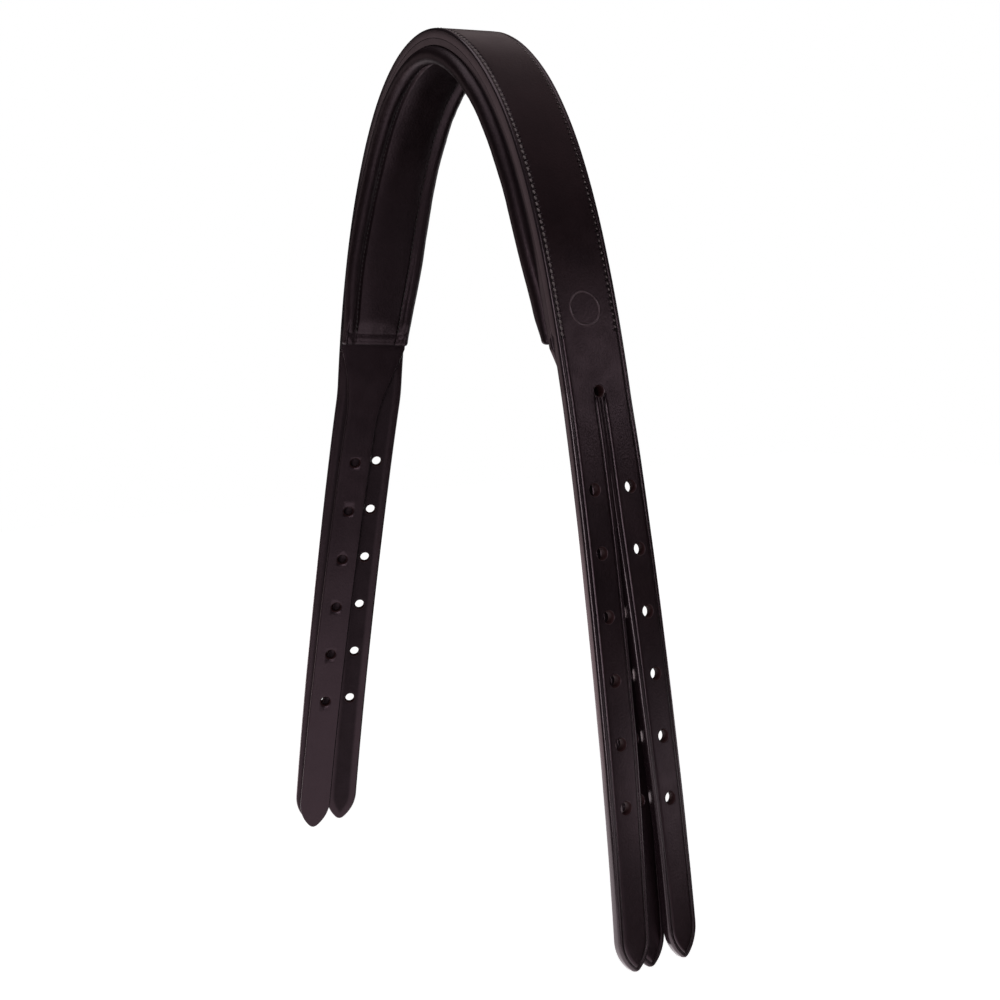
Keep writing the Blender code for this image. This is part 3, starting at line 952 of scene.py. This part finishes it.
class Leather(Nodes):
    """A waxed leather while it is made: its colour, roughness, relief in metres and polish so far."""

    def __init__(self, name, dark, warm, roughness, pebbles, grain_depth=0.00005):
        self.material, nodes = new_material(name)
        super().__init__(nodes.tree)
        hide = add_grain(self, pebbles)
        self.dark = dark
        self.colour = self.mix(self.ramp(hide["Tone"], 0.3, 0.72), dark, warm)
        self.roughness = self.ramp(hide["Rub"], 0.3, 0.75, roughness - 0.02, roughness + 0.035)
        self.relief = self.times(hide["Height"], grain_depth)
        self.polish = None

    def recorded(self, name):
        """What the mesh has on record for each point of the flat leather."""
        return self.add("ShaderNodeAttribute", attribute_name=name).outputs["Fac"]

    def tint(self, share, colour):
        self.colour = self.mix(share, self.colour, colour)

    def work_edges(self):
        """Tints the rims and cut edges lighter, a painted highlight, darkens the creases with painted
        shade, and waxes and burnishes both.
        """
        inputs = {
            "From edge": self.recorded("from_edge"),
            "Face side": self.recorded("face_side"),
            "Dressed": self.recorded("dressed"),
        }
        edge = self.add("ShaderNodeGroup", inputs, node_tree=worked_edge).outputs
        red, green, blue = self.dark
        # The lighter tint on the rims and cut edges is a painted highlight; their wax and lower
        # roughness are real polish.
        self.tint(edge["Rim"], painted_edge_highlight)
        # Darker tint in the crease line: painted shade in the groove.
        self.tint(self.times(edge["Crease"], 0.75), (red * 0.45, green * 0.4, blue * 0.4))
        self.polish = self.math("MAXIMUM", edge["Rim"], edge["Crease"])
        self.roughness = self.minus(self.roughness, self.times(self.polish, 0.07))
        grain_left = self.minus(1.0, self.times(edge["Rim"], 0.8))
        self.relief = self.times(self.relief, grain_left)

    def bare_hide_with_painted_light(self, hole_rim_painted_light, flesh_with_painted_shade):
        """Shows the raw leather in the holes and the flesh side, both rougher than the waxed face, with
        painted light round the hole rims and painted shade on the middle of the flesh side.
        """
        wall = self.recorded("hole_wall")
        cut = self.ramp(wall, 0.5, 0.8)
        bare = cut
        if flesh_with_painted_shade:
            is_back = self.ramp(self.recorded("face_side"), 0.05, 0.2, 1.0, 0.0)
            middle = self.ramp(self.recorded("from_edge"), 2.0, 4.0)
            flesh_and_painted_shade = self.times(is_back, middle)
            # The darker middle of the flesh side is painted shade; its added roughness below is the
            # flesh side's own.
            self.tint(flesh_and_painted_shade, tuple(part * 0.3 for part in self.dark))
            bare = self.math("MAXIMUM", flesh_and_painted_shade, cut)
        # Tint round each hole's rim: a painted highlight on the crown and billets, painted shade on the
        # noseband.
        self.tint(self.ramp(wall, 0.05, 0.35), hole_rim_painted_light)
        self.tint(cut, raw_hide)
        self.roughness = self.math("ADD", self.roughness, self.times(bare, 0.42))

    def prick_rows(self):
        """Paints shade into the awl holes beside the stitches of both rows, and sinks them."""
        along, across = self.recorded("along"), self.recorded("across")
        for row, reach in ((front_row, front_row_end), (rear_row, rear_row_end)):
            inputs = {"Along": along, "Across": across, "Row": row, "First": -reach, "Last": reach}
            hole = self.add("ShaderNodeGroup", inputs, node_tree=awl_holes).outputs["Hole"]
            # Dark tint in each awl hole: painted shade.
            self.tint(hole, painted_awl_shade)
            self.relief = self.minus(self.relief, self.times(hole, 0.00055))

    def burnish_ring_and_paint_highlight(self):
        run = self.minus(self.recorded("along"), ring_along)
        side = self.minus(self.recorded("across"), ring_across)
        from_ring = self.minus(self.hypotenuse(run, side), ring_radius)
        groove = self.ramp(self.math("ABSOLUTE", from_ring), 0.15, 0.6, 1.0, 0.0)
        # Lighter tint in the ring's groove: a painted highlight; the extra wax below is polish.
        self.tint(groove, painted_ring_highlight)
        self.polish = self.math("MAXIMUM", self.polish, self.times(groove, 2.0))

    def finish(self, wax=0.0):
        """The finished material, with this much clear wax where it is polished."""
        surface = {"Base Color": self.colour, "Roughness": self.roughness}
        surface.update({"Specular IOR Level": 0.45, "Specular Tint": shine_tint})
        if wax:
            surface["Coat Weight"] = self.times(self.polish, wax)
            surface.update({"Coat Roughness": 0.24, "Coat Tint": wax_tint})
        finish_surface(self, self.relief, surface)
        return self.material


def crown_leather():
    leather = Leather("crown_leather", strap_dark, strap_warm, 0.31, 1500)
    leather.work_edges()
    leather.bare_hide_with_painted_light(painted_hole_rim_highlight, flesh_with_painted_shade=True)
    leather.prick_rows()
    leather.burnish_ring_and_paint_highlight()
    return leather.finish(wax=0.45)


def billet_leather():
    leather = Leather("billet_leather", strap_dark, strap_warm, 0.31, 1500)
    leather.work_edges()
    leather.bare_hide_with_painted_light(painted_hole_rim_highlight, flesh_with_painted_shade=True)
    return leather.finish(wax=1.0)


def noseband_leather():
    leather = Leather("noseband_leather", noseband_dark, noseband_warm, 0.30, 1300)
    leather.work_edges()
    leather.bare_hide_with_painted_light(noseband_dark, flesh_with_painted_shade=False)
    return leather.finish(wax=0.1)


def pad_leather():
    return Leather("pad_leather", pad_dark, pad_warm, 0.42, 1100, 0.00010).finish()


def waxed_thread(name, dark, light):
    """Twisted thread, lighter where its strands stand up and darker between them: painted highlight and
    painted shade.
    """
    material, nodes = new_material(name)
    strands = add_grain(nodes, 5200.0)["Height"]
    # Colour follows the strands' height: painted highlight on the raised strands, painted shade between
    # them.
    colour = nodes.mix(nodes.ramp(strands, 0.2, 0.7), dark, light)
    relief = nodes.times(strands, 0.00008)
    finish_surface(nodes, relief, {"Base Color": colour, "Roughness": 0.42})
    return material


def set_material(item, material):
    item.data.materials.clear()
    item.data.materials.append(material)


# The headpiece itself
crown_finish, billet_finish = crown_leather(), billet_leather()
noseband_finish, pad_finish = noseband_leather(), pad_leather()
linen = waxed_thread("waxed_linen_thread", linen_dark, linen_strand_highlight)
lining_linen = waxed_thread("dark_lining_thread", lining_dark, lining_strand_highlight)

set_material(make_crown_strap(), crown_finish)
set_material(make_noseband_strap(), noseband_finish)
set_material(make_pad(), pad_finish)
for side, prefix in ((NEAR, "near"), (OFF, "off")):
    set_material(make_billet(side, prefix, "cheek", -billet_centre), billet_finish)
    set_material(make_billet(side, prefix, "throat", billet_centre), billet_finish)
    set_material(make_noseband_billet(side, prefix), noseband_finish)

stitches = stitch_tree()
for name, reach, line in (
    ("front_row_outer", front_row_end, strap_line(front_row)),
    ("rear_row_outer", rear_row_end, strap_line(rear_row)),
):
    make_stitch_row(name, stitches, reach, line, linen, False)
for name, side in (("front_row_inner", -1), ("rear_row_inner", 1)):
    row = make_stitch_row(name, stitches, lining_row_end, channel_line(side), lining_linen, True)


# Studio: a white table in a dark room, in metres
floor_height, room_half_width, room_height = -0.37, 2.2, 2.2
table_half_width, table_middle = 1.0, (-0.75, 0.75)
card_middle, card_size = (-0.245, 0.37, floor_height + 0.004), (1.05, 0.66, 1)
white, warm = (1.0, 1.0, 1.0), (1.0, 0.84, 0.84)


def plain_material(name, shade):
    material, nodes = new_material(name)
    surface = {"Base Color": (shade, shade, shade, 1), "Roughness": 0.9}
    nodes.give(nodes.tree.nodes["Principled BSDF"], surface)
    return material


def seen_directly(nodes):
    """One for rays that look straight at the background, in a reflection or through glass."""
    path = nodes.add("ShaderNodeLightPath").outputs
    found = nodes.math("ADD", path["Is Camera Ray"], path["Is Glossy Ray"], True)
    return nodes.math("ADD", found, path["Is Transmission Ray"], True)


def make_floor():
    mesh = bmesh.new()
    bmesh.ops.create_grid(mesh, x_segments=2, y_segments=2, size=table_half_width)
    floor = mesh_object("studio_floor", mesh)
    floor.location = (*table_middle, floor_height)
    material = plain_material("white_floor", 0.82)
    nodes = Nodes(material.node_tree)
    place = nodes.add("ShaderNodeTexCoord")
    inputs = {0: place.outputs["Object"], 1: (-table_middle[0], -table_middle[1], 0)}
    from_middle = nodes.add("ShaderNodeVectorMath", inputs, operation="DISTANCE")
    glow = nodes.ramp(from_middle.outputs["Value"], 0.2, 1.3, 0.86, 1.0)
    strength = nodes.times(glow, seen_directly(nodes))
    emission = {"Emission Color": (1, 1, 1, 1), "Emission Strength": strength}
    nodes.give(nodes.tree.nodes["Principled BSDF"], emission)
    set_material(floor, material)


def make_room():
    """The dark room round the white table, which the leather's sheen reflects."""
    mesh = bmesh.new()
    bmesh.ops.create_cube(mesh, size=1.0)
    bmesh.ops.reverse_faces(mesh, faces=mesh.faces[:])
    room = mesh_object("studio_room", mesh)
    room.scale = (2 * room_half_width, 2 * room_half_width, room_height)
    room.location.z = floor_height + room_height / 2 - 0.02
    room.visible_camera = False
    set_material(room, plain_material("dark_wall", 0.09))


def make_card():
    """A black card on the table behind the arch, unseen by the camera, that keeps the lining dark."""
    mesh = bmesh.new()
    bmesh.ops.create_grid(mesh, x_segments=1, y_segments=1, size=0.5)
    card = mesh_object("black_card", mesh)
    card.scale = card_size
    card.location = card_middle
    card.visible_camera = False
    card.visible_shadow = False
    set_material(card, plain_material("black_card", 0.01))


def make_world():
    """A dim white world, which the camera sees at full strength."""
    world = bpy.data.worlds.new("studio")
    bpy.context.scene.world = world
    world.use_nodes = True
    nodes = Nodes(world.node_tree)
    inputs = {"Factor": seen_directly(nodes), "A": 0.45, "B": 1.0}
    strength = nodes.add("ShaderNodeMix", inputs, data_type="FLOAT").outputs["Result"]
    nodes.give(nodes.tree.nodes["Background"], {"Color": (1, 1, 1, 1), "Strength": strength})


def make_light(name, place, aim, size, power, colour=white):
    data = bpy.data.lights.new(name, "AREA")
    data.shape = "RECTANGLE"
    data.size, data.size_y = size
    data.energy = power
    data.color = colour
    light = add_object(name, data)
    light.location = place
    light.rotation_euler = (Vector(aim) - Vector(place)).to_track_quat("-Z", "Y").to_euler()


def make_lights():
    make_light("top_softbox", (0.1, -0.3, 1.3), (0, 0, -0.1), (1.2, 1.2), 6.0)
    make_light("key_strip", (1.20, -0.85, 0.05), (0.0, 0, -0.12), (0.30, 1.2), 6.5)
    make_light("side_softbox", (1.0, 0.70, 0.23), (0.07, 0, -0.12), (0.30, 0.22), 0.45)
    make_light("low_side_softbox", (0.55, 0.36, -0.30), (0.11, 0, -0.27), (0.40, 0.11), 0.04)
    make_light("tip_softbox", (0.40, 0.30, -0.325), (0.115, 0, -0.30), (0.24, 0.08), 0.065)
    make_light("low_front_softbox", (0.45, 0.03, -0.355), (-0.1, 0, -0.12), (0.22, 0.12), 0.05)
    make_light("front_softbox", (-1.1, -0.85, -0.04), (0.0, 0, -0.12), (0.6, 0.80), 0.8, warm)
    make_light("low_near_softbox", (-0.27, -0.26, -0.352), (0.11, 0, -0.22), (0.36, 0.24), 0.28, warm)
    make_light("back_softbox", (-1.25, 0.80, 0.28), (0.0, 0, -0.02), (0.6, 0.8), 0.14, warm)
    make_light("upper_back_softbox", (-0.6, 0.80, 0.90), (0.0, 0, -0.02), (0.9, 0.7), 0.75, warm)
    make_light("ceiling_softbox", (0.38, 0.75, 1.05), (0.0, 0, -0.02), (1.1, 0.8), 0.6, warm)


def make_camera():
    """Sees the headpiece from in front and the near side, a little above, as the photograph does."""
    azimuth, elevation, roll = math.radians(58.346), math.radians(6.437), math.radians(-2.227)
    place = Vector((547.587, -326.247, -109.226 - rest_height)) * MM
    run = math.cos(elevation)
    forward = Vector((-math.sin(azimuth) * run, math.cos(azimuth) * run, -math.sin(elevation)))
    right = Vector((math.cos(azimuth), math.sin(azimuth), 0))
    up = right.cross(forward)
    x_axis = math.cos(roll) * right + math.sin(roll) * up
    y_axis = -math.sin(roll) * right + math.cos(roll) * up
    data = bpy.data.cameras.new("camera")
    data.lens = 58.42
    data.sensor_width = 36.0
    data.clip_start, data.clip_end = 0.01, 50.0
    camera = add_object("camera", data)
    matrix = Matrix((x_axis, y_axis, -forward)).transposed().to_4x4()
    matrix.translation = place
    camera.matrix_world = matrix
    bpy.context.scene.camera = camera


make_floor()
make_room()
make_card()
make_world()
make_camera()
make_lights()
bpy.context.scene.view_settings.view_transform = "Standard"
